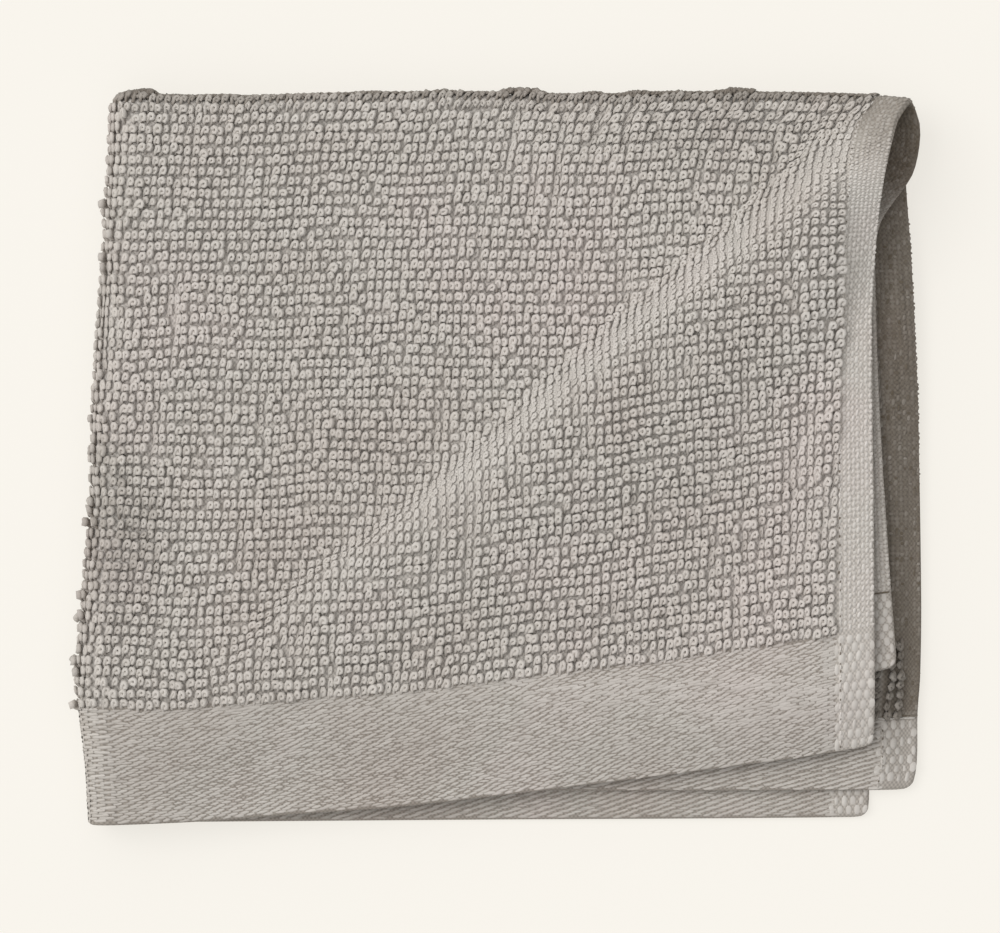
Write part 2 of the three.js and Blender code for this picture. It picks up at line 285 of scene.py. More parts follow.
def middle(u, v):
    """Middle of the sheet at u across the cloth and v along it, both measured from the folds."""
    u, v = round_corners(np.asarray(u, float), np.asarray(v, float))
    theta = np.clip(u / LEFT_FOLD_RADIUS, -math.pi / 2, math.pi / 2)
    phi = np.clip(v / TOP_FOLD_RADIUS, -math.pi / 2, math.pi / 2)
    upper = 0.5 + 0.5 * np.sin(theta)
    outer = 0.5 + 0.5 * np.sin(phi)
    beyond_top = np.maximum(0, np.abs(v) - TOP_ARC)
    beyond_left = np.maximum(0, np.abs(u) - LEFT_ARC)
    depth = TOP_FOLD_RADIUS * (1 - np.cos(phi)) + beyond_top
    reach = LEFT_FOLD_RADIUS + TOP_FOLD_RADIUS * np.sin(phi)
    out = LEFT_FOLD_RADIUS - reach * np.cos(theta) + beyond_left
    level = STACK_CENTRE + reach * np.sin(theta)
    along = depth / PLAN_LENGTH
    over = out / PLAN_WIDTH

    def blend(top, second, third, bottom):
        return mix(mix(third, bottom, outer), mix(second, top, outer), upper)

    guess = mix(PLAN_LEFT, PLAN_RIGHT, over)
    ridge = {name: read(RIDGE, "across", guess, name) for name in RIDGE if name != "across"}
    high = np.maximum(0, ridge["high"])
    top_down = read(TOP_FOLD, "across", guess, "down")
    back_down = top_down + LOWER_FOLD_BACK * (1 - upper)
    natural = along * TOP_END
    flank = ridge["crest"] - ridge["above"] / 2
    drawn_from = np.maximum(0, flank - ridge["run"])
    drawn = ridge["lift"] * smooth(drawn_from, flank + ridge["run"], natural)
    down = blend(
        down_plan(top_down, TOP_END, along) - drawn,
        down_plan(top_down, read(HEM_ENDS, "across", guess, "second"), along),
        down_plan(back_down, read(HEM_ENDS, "across", guess, "third"), along),
        down_plan(back_down, read(HEM_ENDS, "across", guess, "bottom"), along),
    )
    left = read(LEFT_FOLD, "down", down, "across")
    bottom_right = read(BOTTOM_RIGHT, "down", down, "across")
    right = blend(
        read(TOP_RIGHT, "down", down, "across"),
        read(SECOND_RIGHT, "down", down, "across"),
        read(THIRD_RIGHT, "down", down, "across"),
        bottom_right,
    )
    across = mix(left, right, over)

    wave = np.sin(across / WAVE_ACROSS + WAVE_ACROSS_TURN) * np.cos(down / WAVE_DOWN + WAVE_DOWN_TURN)
    sink_share = SINK_SHARE * mix(SINK_AT_FOLD, 1, smooth(0, SINK_FOLD_RUN, over))
    sink = 1 - sink_share * smooth(SINK_FROM, SINK_TO, down)
    z = level * sink * (1 + WAVE_HEIGHT * wave)
    top_share = upper * outer
    second_share = upper * (1 - outer)
    off = natural - ridge["crest"]
    turn = np.clip(np.where(off < 0, off / ridge["above"], off / ridge["below"]), -1, 1)
    bump = high * np.cos(turn * math.pi / 2) ** 2
    at_fold = np.clip(-ridge["crest"] / ridge["above"], -1, 1)
    loop = high * np.cos(at_fold * math.pi / 2) ** 2
    fade = 1 - smooth(0, LOOP_RUN, beyond_top)
    z = z + upper * mix(loop * LOOP_SHARE * fade, bump, smooth(-LOOP_TURN, LOOP_TURN, v))
    second_end = read(HEM_ENDS, "across", across, "second")
    hang = smooth(0, OVERHANG_RUN, down - second_end - OVERHANG_START) * np.maximum(0, over)
    z = z - top_share * OVERHANG_SINK * hang
    edge_sink = 1 - smooth(0, HEM_SINK_RUN, HALF_WIDTH - np.abs(u))
    hem_share = (top_share + SECOND_HEM_SINK * second_share) * (1 - smooth(0, HEM_SINK_CLEAR, bump))
    z = z - HEM_SINK * edge_sink * hem_share
    past = smooth(0, DROOP_RUN, across - bottom_right - DROOP_FROM)
    z = mix(z, DROOP_LEVEL, DROOP_SHARE * (1 - upper) * (1 - outer) * past)
    return np.stack([across, -down, z], axis=-1)


def unit(vectors):
    return vectors / np.maximum(np.linalg.norm(vectors, axis=-1, keepdims=True), 1e-9)


def surface(u, v):
    """Points of the middle of the sheet with the directions right, up the cloth and out of its face."""
    u = np.asarray(u, float)
    v = np.asarray(v, float)
    right = (middle(u + PROBE, v) - middle(u - PROBE, v)) / (2 * PROBE)
    along = (middle(u, v + PROBE) - middle(u, v - PROBE)) / (2 * PROBE)
    face = unit(np.cross(along, right))
    return middle(u, v), right, -along, face


def held(vectors):
    """Directions with the stretch of the cloth kept within reason."""
    size = np.linalg.norm(vectors, axis=-1, keepdims=True)
    return vectors / np.maximum(size, 1e-9) * np.clip(size, *STRETCH_SPAN)


def weave_mix(u, v, pile, border, hem, hem_border):
    """Blends four values by the kind of weave at a place on the cloth."""
    hem_share = 1 - smooth(HEM_WIDTH, HEM_WIDTH + WEAVE_STEP, HALF_WIDTH - np.abs(u))
    border_share = 1 - smooth(BORDER_WIDTH, BORDER_WIDTH + WEAVE_STEP, HALF_LENGTH - np.abs(v))
    return mix(mix(pile, hem, hem_share), mix(border, hem_border, hem_share), border_share)


def hem_light_and_shade(u, v, side):
    """Painted light and shade of the side hems: pale on top, dim on the lower layers in the shade of those
    above, dark inside the puffed corner.
    """
    inside = mix(HEM_PAINTED_SHADES["second"], HEM_PAINTED_SHADES["inside"], smooth(*HEM_PAINTED_SHADES["turn"], v))
    upper = np.where(side > 0, read(HEM_TOP_LIGHT_AND_SHADE, "along", v, "tone"), inside)
    third = (side > 0) & (v < 0) & (v > INNER_BORDER - HALF_LENGTH)
    lower = np.where(third, HEM_PAINTED_SHADES["third"], HEM_PAINTED_SHADES["bottom"])
    return np.where(u > 0, upper, lower)


def face_tone(u, v, side):
    """Tone of the bare ground cloth on one face, dark in the border and under the hem floats as painted shade
    in the gaps between floats.
    """
    hem_share = 1 - smooth(HEM_WIDTH, HEM_WIDTH + WEAVE_STEP, HALF_WIDTH - np.abs(u))
    return mix(weave_mix(u, v, *SHEET_TONES), BARE_PAINTED_SHADE * hem_light_and_shade(u, v, side), hem_share)


def solid_thickness(u, v):
    return weave_mix(u, v, PILE_THICK, BORDER_THICK, HEM_THICK, HEM_BORDER_THICK)


def ground_thickness(u, v):
    full = weave_mix(u, v, GROUND_PILE, GROUND_BORDER, GROUND_HEM, GROUND_HEM_BORDER)
    inset = np.minimum(HALF_WIDTH - np.abs(u), HALF_LENGTH - np.abs(v))
    part = np.clip(inset / (full / 2), 0, 1)
    return full * np.maximum(RIM_THIN, np.sqrt(1 - (1 - part) ** 2))


def wander(step_u, step_v):
    """Slow random change over the flat cloth, as a function of the place."""
    columns = int(CLOTH_WIDTH / step_u) + 3
    rows = int(CLOTH_LENGTH / step_v) + 3
    knots = rng.normal(0, 1, (columns, rows))

    def at(u, v):
        x = (u + HALF_WIDTH) / step_u
        y = (v + HALF_LENGTH) / step_v
        i = np.clip(x.astype(int), 0, columns - 2)
        j = np.clip(y.astype(int), 0, rows - 2)
        share_x = smooth(0, 1, x - i)
        near = mix(knots[i, j], knots[i + 1, j], share_x)
        far = mix(knots[i, j + 1], knots[i + 1, j + 1], share_x)
        return mix(near, far, smooth(0, 1, y - j))

    return at


def band_share(u, v):
    """How far a place lies in the pale band on the steep side of the ridge."""
    over = (u - LEFT_ARC + LEFT_FOLD_RADIUS) / PLAN_WIDTH
    natural = (v - TOP_ARC + TOP_FOLD_RADIUS) / PLAN_LENGTH * TOP_END
    guess = mix(PLAN_LEFT, PLAN_RIGHT, over)
    flank = read(RIDGE, "across", guess, "crest") - read(RIDGE, "across", guess, "above") / 2
    strength = np.clip(read(RIDGE, "across", guess, "high") / BAND_FULL, 0, 1)
    share = strength * np.exp(-(((natural - flank - BAND_SHIFT) / read(RIDGE, "across", guess, "band")) ** 2))
    return np.where((u > 0) & (v > 0), share, 0)


def plan_centre():
    """Middle of the solid's box in the plan, which is the origin of the frame."""
    columns, rows = CENTRE_SAMPLES
    across = np.linspace(-HALF_WIDTH, HALF_WIDTH, columns)
    along = np.linspace(-HALF_LENGTH, HALF_LENGTH, rows)
    u, v = np.meshgrid(across, along)
    points, _, _, face = surface(u, v)
    half = solid_thickness(u, v)[..., None] / 2
    both = np.concatenate([points + face * half, points - face * half]).reshape(-1, 3)
    return (both.min(axis=0) + both.max(axis=0)) / 2 * (1, 1, 0)


ORIGIN = plan_centre()


def make_mesh(name, vertices, quads, material, shades):
    """One joined mesh from arrays in millimetres, with named values for each point."""
    mesh = bpy.data.meshes.new(name)
    mesh.vertices.add(len(vertices))
    mesh.vertices.foreach_set("co", ((vertices - ORIGIN) * MM).astype(np.float32).ravel())
    mesh.loops.add(quads.size)
    mesh.loops.foreach_set("vertex_index", quads.astype(np.int32).ravel())
    mesh.polygons.add(len(quads))
    mesh.polygons.foreach_set("loop_start", np.arange(0, quads.size, 4, dtype=np.int32))
    mesh.polygons.foreach_set("use_smooth", np.ones(len(quads), bool))
    mesh.update(calc_edges=True)
    mesh.validate()
    for key, values in shades.items():
        shade = mesh.attributes.new(key, "FLOAT", "POINT")
        shade.data.foreach_set("value", values.astype(np.float32).ravel())
    mesh.materials.append(material)
    piece = bpy.data.objects.new(name, mesh)
    bpy.context.scene.collection.objects.link(piece)
    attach(piece, "root")
    return piece


# Cotton: how it takes the light, its broad fading and its fine fibres
COTTON = {"Roughness": 0.95, "Specular IOR Level": 0.15, "Sheen Weight": 0.12, "Sheen Roughness": 0.6}
FADE = {
    "position": [0.3, 0.7, 0.5],
    "colour": [(0.90, 0.880, 0.855, 1), (1.0, 0.980, 0.972, 1), (0.955, 0.965, 0.945, 1)],
}
FADE_NOISE = {"Scale": 28, "Detail": 3}
FIBRE_DETAIL = 2
FIBRE_DEPTH = 0.0002
YARN_LEVELS = (0.72, 1.18)


def set_inputs(node, values):
    for key, value in values.items():
        node.inputs[key].default_value = value


def cloth_material(name, dark, mid, light, fuzz_scale, bump):
    """Cotton: colour from the tone of each loop or float, which carries painted light and shade, broad uneven
    fading, fine fibre bump and a soft sheen.
    """
    material = bpy.data.materials.new(name)
    material.use_nodes = True
    nodes = material.node_tree.nodes
    links = material.node_tree.links
    shader = nodes["Principled BSDF"]
    set_inputs(shader, COTTON)
    place = nodes.new("ShaderNodeTexCoord")
    tone = nodes.new("ShaderNodeAttribute")
    tone.attribute_name = "tone"
    ramp = nodes.new("ShaderNodeValToRGB")
    ramp.color_ramp.elements[0].color = (*dark, 1)
    ramp.color_ramp.elements[1].color = (*light, 1)
    centre = ramp.color_ramp.elements.new(0.5)
    centre.color = (*mid, 1)
    links.new(tone.outputs["Fac"], ramp.inputs["Fac"])
    broad = nodes.new("ShaderNodeTexNoise")
    set_inputs(broad, FADE_NOISE)
    links.new(place.outputs["Object"], broad.inputs["Vector"])
    fade = nodes.new("ShaderNodeValToRGB")
    for i in range(2):
        fade.color_ramp.elements[i].position = FADE["position"][i]
        fade.color_ramp.elements[i].color = FADE["colour"][i]
    cool = fade.color_ramp.elements.new(FADE["position"][2])
    cool.color = FADE["colour"][2]
    links.new(broad.outputs["Fac"], fade.inputs["Fac"])
    tint = nodes.new("ShaderNodeMix")
    tint.data_type = "RGBA"
    tint.blend_type = "MULTIPLY"
    tint.inputs["Factor"].default_value = 1
    links.new(ramp.outputs["Color"], tint.inputs["A"])
    links.new(fade.outputs["Color"], tint.inputs["B"])
    links.new(tint.outputs["Result"], shader.inputs["Base Color"])
    fibre = nodes.new("ShaderNodeTexNoise")
    set_inputs(fibre, {"Scale": fuzz_scale, "Detail": FIBRE_DETAIL})
    links.new(place.outputs["Object"], fibre.inputs["Vector"])
    relief = nodes.new("ShaderNodeBump")
    set_inputs(relief, {"Strength": bump, "Distance": FIBRE_DEPTH})
    links.new(fibre.outputs["Fac"], relief.inputs["Height"])
    links.new(relief.outputs["Normal"], shader.inputs["Normal"])
    return material


def yarn_lines(material):
    """Ground yarns of the cloth as light and dark lines along it, broken across it."""
    nodes = material.node_tree.nodes
    links = material.node_tree.links

    def waves(attribute, pitch):
        place = nodes.new("ShaderNodeAttribute")
        place.attribute_name = attribute
        turn = nodes.new("ShaderNodeMath")
        turn.operation = "MULTIPLY"
        turn.inputs[1].default_value = 2 * math.pi / pitch
        links.new(place.outputs["Fac"], turn.inputs[0])
        wave = nodes.new("ShaderNodeMath")
        wave.operation = "SINE"
        links.new(turn.outputs["Value"], wave.inputs[0])
        return wave

    crossed = nodes.new("ShaderNodeMath")
    crossed.operation = "MULTIPLY"
    links.new(waves("across", GROUND_YARN).outputs["Value"], crossed.inputs[0])
    links.new(waves("along", GROUND_PICK).outputs["Value"], crossed.inputs[1])
    level = nodes.new("ShaderNodeMapRange")
    set_inputs(level, {"From Min": -1, "From Max": 1, "To Min": YARN_LEVELS[0], "To Max": YARN_LEVELS[1]})
    links.new(crossed.outputs["Value"], level.inputs["Value"])
    shader = nodes["Principled BSDF"]
    plain = shader.inputs["Base Color"].links[0].from_socket
    lined = nodes.new("ShaderNodeMix")
    lined.data_type = "RGBA"
    lined.blend_type = "MULTIPLY"
    lined.inputs["Factor"].default_value = 1
    links.new(plain, lined.inputs["A"])
    links.new(level.outputs["Result"], lined.inputs["B"])
    links.new(lined.outputs["Result"], shader.inputs["Base Color"])


# The dark ends of these ramps are warm browns, the colour of the painted shade that low tones carry
YARN = cloth_material(
    "terry_loops",
    dark=(0.24, 0.208, 0.18),
    mid=(0.61, 0.567, 0.533),
    light=(0.72, 0.678, 0.65),
    fuzz_scale=3000,
    bump=0.35,
)
WEAVE = cloth_material(
    "flat_weave",
    dark=(0.16, 0.131, 0.100),
    mid=(0.57, 0.53, 0.50),
    light=(0.78, 0.74, 0.71),
    fuzz_scale=3500,
    bump=0.3,
)
GROUND = cloth_material(
    "ground_cloth",
    dark=(0.17, 0.140, 0.110),
    mid=(0.54, 0.495, 0.46),
    light=(0.66, 0.62, 0.59),
    fuzz_scale=2500,
    bump=0.5,
)
yarn_lines(GROUND)


def edge_lines(arc, half, inset, pitch):
    """Lines from the end of a fold to the edge, close together at the change of weave and the rim."""
    count = int((half - inset - WEAVE_STEP - arc) / pitch)
    field = np.linspace(arc, half - inset - WEAVE_STEP, count + 1)[1:]
    step = half - inset - np.array(STEP_LINES)
    flat = np.linspace(half - inset, half - RIM_FROM, max(FEWEST_LINES, int(inset / pitch) + 1))[1:]
    rim = half - np.array(RIM_LINES)
    return np.concatenate([field, step, flat, rim])


def cloth_sheet():
    """The folded ground cloth as one closed thin sheet."""
    side = edge_lines(LEFT_ARC, HALF_WIDTH, HEM_WIDTH, SHEET_PITCH)
    end = edge_lines(TOP_ARC, HALF_LENGTH, BORDER_WIDTH, SHEET_PITCH)
    columns = np.concatenate([-side[::-1], np.linspace(-LEFT_ARC, LEFT_ARC, LEFT_FOLD_LINES), side])
    rows = np.concatenate([-end[::-1], np.linspace(-TOP_ARC, TOP_ARC, TOP_FOLD_LINES), end])
    u, v = np.meshgrid(columns, rows, indexing="ij")
    points, _, _, face = surface(u, v)
    half = ground_thickness(u, v)[..., None] / 2
    wide, long = u.shape
    vertices = np.concatenate([(points + face * half).reshape(-1, 3), (points - face * half).reshape(-1, 3)])
    outer = np.arange(wide * long).reshape(wide, long)
    inner = outer + wide * long

    def strip(a, b, c, d):
        return np.stack([a, b, c, d], axis=-1).reshape(-1, 4)

    quads = [
        strip(outer[:-1, :-1], outer[:-1, 1:], outer[1:, 1:], outer[1:, :-1]),
        strip(inner[:-1, :-1], inner[1:, :-1], inner[1:, 1:], inner[:-1, 1:]),
        strip(outer[:-1, 0], outer[1:, 0], inner[1:, 0], inner[:-1, 0]),
        strip(outer[1:, -1], outer[:-1, -1], inner[:-1, -1], inner[1:, -1]),
        strip(outer[0, 1:], outer[0, :-1], inner[0, :-1], inner[0, 1:]),
        strip(outer[-1, :-1], outer[-1, 1:], inner[-1, 1:], inner[-1, :-1]),
    ]
    vertices[:, 2] = np.maximum(vertices[:, 2], FLOOR_GAP)
    shades = {
        "tone": np.concatenate([face_tone(u, v, 1).ravel(), face_tone(u, v, -1).ravel()]),
        "across": np.tile(u.ravel(), 2),
        "along": np.tile(v.ravel(), 2),
    }
    return make_mesh("cloth_sheet", vertices, np.concatenate(quads), GROUND, shades)


# A direction that no yarn follows, to start the rings from
OFF_AXIS = (0.3, 0.5, 0.8)


def tube_shape(points, radii, sides):
    """Rings of points round a short bent yarn."""
    points = np.asarray(points, float)
    tangents = unit(np.gradient(points, axis=0))
    side = unit(np.cross(tangents[0], OFF_AXIS))
    angles = np.arange(sides) * 2 * math.pi / sides
    rings = []
    for point, tangent, radius in zip(points, tangents, radii):
        side = unit(side - tangent * np.dot(side, tangent))
        other = np.cross(tangent, side)
        ring = np.cos(angles)[:, None] * side + np.sin(angles)[:, None] * other
        rings.append(point + radius * ring)
    return np.array(rings).reshape(-1, 3)


def tube_quads(rings, sides):
    k, s = np.meshgrid(np.arange(rings - 1), np.arange(sides), indexing="ij")
    after = (s + 1) % sides
    quad = [k * sides + s, k * sides + after, (k + 1) * sides + after, (k + 1) * sides + s]
    return np.stack(quad, axis=-1).reshape(-1, 4)


def resample(points, count):
    """Smooth curve through a few points, as evenly spaced points."""
    points = np.asarray(points, float)
    keys = np.concatenate([[0], np.cumsum(np.linalg.norm(np.diff(points, axis=0), axis=1))])
    at = np.linspace(0, keys[-1], count)
    columns = [read({"key": keys, "value": points[:, i]}, "key", at, "value") for i in range(3)]
    return np.stack(columns, axis=-1)


# One loop of pile yarn seen from its face: right, up the cloth, out of the cloth
CURL = [
    (-0.32, -1.05, -0.02),
    (-0.38, -0.58, 0.36),
    (-0.38, 0.02, 0.60),
    (-0.16, 0.48, 0.78),
    (0.22, 0.48, 0.86),
    (0.42, 0.06, 0.86),
    (0.30, -0.36, 0.78),
    (-0.02, -0.40, 0.66),
    (-0.08, -0.05, 0.50),
]


def loop_shapes(kinds, rings, sides):
    """A few different curls, some open, some tight."""
    shapes = []
    radii = YARN_RADIUS * np.interp(np.linspace(0, 1, rings), YARN_TAPER["at"], YARN_TAPER["share"])
    for _ in range(kinds):
        jitter = rng.normal(0, CURL_JITTER, (len(CURL), 3)) * CURL_JITTER_SHARE
        line = resample(np.array(CURL) * CURL_SIZE + jitter, rings)
        shapes.append(tube_shape(line, radii, sides))
    return np.array(shapes)


def spin(shapes, angles):
    """Turns each shape about the direction out of the cloth."""
    c = np.cos(angles)[:, None]
    s = np.sin(angles)[:, None]
    turned = np.empty_like(shapes)
    turned[..., 0] = c * shapes[..., 0] - s * shapes[..., 1]
    turned[..., 1] = s * shapes[..., 0] + c * shapes[..., 1]
    turned[..., 2] = shapes[..., 2]
    return turned


def lay(shapes, base, right, up, face):
    """Puts shapes on the cloth, each in its own directions."""
    return (
        base[:, None, :]
        + shapes[..., 0:1] * right[:, None, :]
        + shapes[..., 1:2] * up[:, None, :]
        + shapes[..., 2:3] * face[:, None, :]
    )


def joined(shapes, quads):
    """Vertices and quads of many like shapes as one mesh."""
    count, points = shapes.shape[:2]
    starts = (np.arange(count) * points)[:, None, None]
    return shapes.reshape(-1, 3), (quads[None] + starts).reshape(-1, 4)


def loop_lines(arc, end, pitch, stretch):
    """Lines of loops across a fold and out to both ends, closer on the fold, which is stretched."""
    field = np.linspace(arc, end, int((end - arc) / pitch) + 1)
    fold = np.linspace(-arc, arc, int(2 * arc * stretch / pitch) + 1)[1:-1]
    return np.concatenate([-field[::-1], fold, field])


def pile_places():
    """Roots of all loops on the outer face, row by row, a little out of line."""
    left_stretch = 1 + (TOP_FOLD_RADIUS + GROUND_PILE / 2) / LEFT_FOLD_RADIUS
    top_stretch = 1 + GROUND_PILE / TOP_FOLD_RADIUS
    columns = loop_lines(LEFT_ARC, HALF_WIDTH - HEM_WIDTH - PILE_END, LOOP_ACROSS, left_stretch)
    rows = loop_lines(TOP_ARC, HALF_LENGTH - BORDER_WIDTH - PILE_END_ALONG, LOOP_ALONG, top_stretch)
    further = np.arange(rows[0], INNER_BORDER - HALF_LENGTH + PILE_END_INNER, -LOOP_ALONG)[:0:-1]
    rows = np.concatenate([further, rows])
    u, v = np.meshgrid(columns, rows, indexing="ij")
    drift = ROW_WANDER["across"] * wander(*ROW_WANDER["across_step"])(u, v)
    u = u + drift + rng.normal(0, ROOT_JITTER[0], u.shape)
    drift = ROW_WANDER["along"] * wander(*ROW_WANDER["along_step"])(u, v)
    v = v + drift + rng.normal(0, ROOT_JITTER[1], v.shape)
    side = -np.arange(columns[-1] + LOOP_ACROSS, HALF_WIDTH - THIRD_HEM, LOOP_ACROSS)
    side_u, side_v = np.meshgrid(side, rows[rows < -THIRD_PILE_FROM], indexing="ij")
    lip_u, lip_v = np.meshgrid(columns[columns > 0] + LOOP_ACROSS / 2, LIP_LINES, indexing="ij")
    lip_u = lip_u + rng.normal(0, LIP_JITTER, lip_u.shape)
    all_u = np.concatenate([u.ravel(), side_u.ravel(), lip_u.ravel()])
    all_v = np.concatenate([v.ravel(), side_v.ravel(), lip_v.ravel()])
    return all_u, all_v


def painted_patch_tone(points):
    """Painted light and shade: soft light and dark places of the pile, by the place in the plan."""
    total = np.zeros(len(points))
    for across, down, wide, long, tone in zip(*PAINTED_PATCHES.values()):
        off_across = (points[:, 0] - across) / wide
        off_down = (points[:, 1] + down) / long
        total += tone * np.exp(-(off_across**2) - off_down**2)
    return total


def varied(size, count, pressed, band):
    """One size of each loop, smaller or larger where the pile is pressed and on the ridge."""
    drawn = np.clip(rng.normal(size["mean"], size["spread"], (count, 1)), size["least"], size["most"])
    return drawn * (1 + size["pressed"] * pressed) * (1 + size["band"] * band)


def pile(name, u, v, rings, sides, height):
    """Curled loops standing on the outer face of the cloth, pressed flat in streaks and along the ridge."""
    count = len(u)
    shapes = loop_shapes(CURL_KINDS, rings, sides)[rng.integers(0, CURL_KINDS, count)]
    streaks = wander(*PRESSED["streak_step"])(u, v)
    places = PRESSED["patch_share"] * wander(*PRESSED["patch_step"])(u, v)
    pressed = smooth(*PRESSED["span"], streaks + places)[:, None]
    band = band_share(u, v)[:, None]
    wide, long, rise = [varied(LOOP_VARY[key], count, pressed, band) for key in ("wide", "long", "rise")]
    roll = (np.abs(u) < LEFT_ARC)[:, None]
    tall = np.where(rng.random((count, 1)) < TALL_SHARE, TALL_RISE, 1.0)
    rise = np.where(roll, ROLL_RISE * rise * tall, rise)
    lip = np.exp(-((v / LIP_RUN) ** 2))[:, None]
    lump = (smooth(*LUMP["span"], wander(*LUMP["step"])(u, v)) * (1 - smooth(*LUMP_END, u)))[:, None]
    rise = mix(rise, mix(*LIP_RISE, lump), lip)
    shapes[..., 0] *= wide
    turns = rng.normal(*LOOP_TURN_SPREAD, count)
    shapes = spin(shapes, turns - LOOP_DRIFT["share"] * wander(*LOOP_DRIFT["step"])(u, v))
    shapes[..., 1] *= long
    shapes[..., 2] *= height * rise
    tilt = rng.normal(0, LOOP_TILT, (2, count, 1))
    shapes[..., 0] += shapes[..., 2] * tilt[0]
    shapes[..., 1] += shapes[..., 2] * tilt[1]
    points, right, up, face = surface(u, v)
    base = points + face * (ground_thickness(u, v)[:, None] / 2)
    right = np.where(roll, unit(right), held(right))
    placed = lay(shapes, base, right, held(up), face)
    placed[..., 2] = np.maximum(placed[..., 2], FLOOR_GAP)
    depth = np.clip(shapes[..., 2] / (LOOP_TIP * height * np.maximum(rise, LEAST_RISE)), 0, 1)
    # Painted shade darker towards each loop's root, painted light on the ridge band
    tone = LOOP_TONE["root"] + LOOP_TONE["tip"] * depth + LOOP_TONE["band"] * band
    tone = tone + LOOP_TONE["pressed"] * pressed + rng.normal(0, LOOP_TONE["spread"], (count, 1))
    # Painted light and shade of the soft patches in the plan
    tone = tone + painted_patch_tone(points)[:, None]
    # Painted shade: darker loops on the left fold's roll and on the top fold's lip, where the cloth curves
    # away from the light
    tone = tone - ROLL_PAINTED_SHADE * np.exp(-((u / LEFT_ARC) ** 2))[:, None] - LIP_PAINTED_SHADE * lip
    # Painted shadow: the third layer's strip of loops darkened where the layers above shade it
    tone = tone - UNDER_PAINTED_SHADOW * ((u < 0) & (v < -TOP_ARC))[:, None]
    vertices, quads = joined(placed, tube_quads(rings, sides))
    return make_mesh(name, vertices, quads, YARN, {"tone": np.clip(tone, 0, 1)})


# Floats of the weave: how much the width, length and rise of each vary, and how they sit
FLOAT_VARY = {"spread": (0.13, 0.10, 0.25), "least": (0.6, 0.7, 0.4), "most": (1.35, 1.3, 1.7)}
FLOAT_TURN = 0.06
FLOAT_BED = 0.02
FLOAT_TONE = 0.05
PILLOW_TOP = 0.9


def grain_shape(rounding, steps):
    """A small rounded pillow, one float of the weave, in a unit box."""
    x, y = np.meshgrid(steps, steps, indexing="ij")
    oval_x = x * np.sqrt(1 - rounding * y * y)
    oval_y = y * np.sqrt(1 - rounding * x * x)
    inside = (np.abs(x) < PILLOW_TOP) & (np.abs(y) < PILLOW_TOP)
    shape = np.stack([oval_x / 2, oval_y / 2, np.where(inside, 1.0, 0.0)], axis=-1).reshape(-1, 3)
    grid = np.arange(x.size).reshape(x.shape)
    quads = np.stack([grid[:-1, :-1], grid[1:, :-1], grid[1:, 1:], grid[:-1, 1:]], axis=-1).reshape(-1, 4)
    return shape, quads


def grains(u, v, side, weave, tone, turn=0.0):
    """Floats of the weave on one face of the cloth: vertices, quads and tones with painted light and shade.
    """
    shape, quads = grain_shape(weave["round"], weave.get("steps", PILLOW))
    count = len(u)
    shapes = np.repeat(shape[None], count, axis=0)
    for axis, size in enumerate((*weave["float"], weave["rise"])):
        drawn = rng.normal(1, FLOAT_VARY["spread"][axis], (count, 1))
        shapes[..., axis] *= size * np.clip(drawn, FLOAT_VARY["least"][axis], FLOAT_VARY["most"][axis])
    shapes = spin(shapes, turn + rng.normal(0, FLOAT_TURN, count))
    points, right, up, face = surface(u, v)
    base = points + face * (side * (ground_thickness(u, v)[:, None] / 2 - FLOAT_BED))
    placed = lay(shapes, base, held(right) * side, held(up), face * side)
    placed[..., 2] = np.maximum(placed[..., 2], FLOOR_GAP)
    height = shape[None, :, 2]
    # Painted light and shade on each float: darker towards its rim, lighter towards its upper edge
    painted_light = mix(weave["rim"], 1, height) + PAINTED_LIT_EDGE * shape[None, :, 1]
    tones = np.reshape(tone, (-1, 1)) * painted_light + rng.normal(0, FLOAT_TONE, (count, 1))
    vertices, faces = joined(placed, quads)
    return vertices, faces, np.clip(tones, 0, 1).ravel()


def stack(parts):
    """Joins several sets of vertices, quads and shades."""
    vertices = np.concatenate([p[0] for p in parts])
    starts = np.cumsum([0] + [len(p[0]) for p in parts[:-1]])
    quads = np.concatenate([p[1] + start for p, start in zip(parts, starts)])
    return vertices, quads, np.concatenate([p[2] for p in parts])


# Weave sizes: the repeat across and along, and the size and rise of a float; rim is the tone at a float's
# edge, painted shade between floats
PILLOW = np.array([-1, -0.55, 0.55, 1])
SMALL_PILLOW = np.array([-1, 0, 1])
TWILL = {
    "across": 2.3,
    "along": 0.475,
    "float": (2.25, 0.58),
    "rise": 0.16,
    "round": 0.3,
    "rim": 0.74,
    "tilt": 0.065,
    "jitter": (0.10, 0.04),
    "inset": 0.45,
    "steps": SMALL_PILLOW,
}
PLAIN = {
    "across": 0.86,
    "along": 2.0,
    "float": (0.70, 1.30),
    "rise": 0.13,
    "round": 0.62,
    "rim": 0.74,
    "slant": -0.22,
}
PLAIN_WEFT = {"float": (0.86, 0.66), "rise": 0.07, "round": 0.6, "rim": 0.88}
COARSE = {"across": 0.81, "along": 3.53, "float": (1.16, 2.05), "rise": 0.12, "round": 0.55, "rim": 0.84}


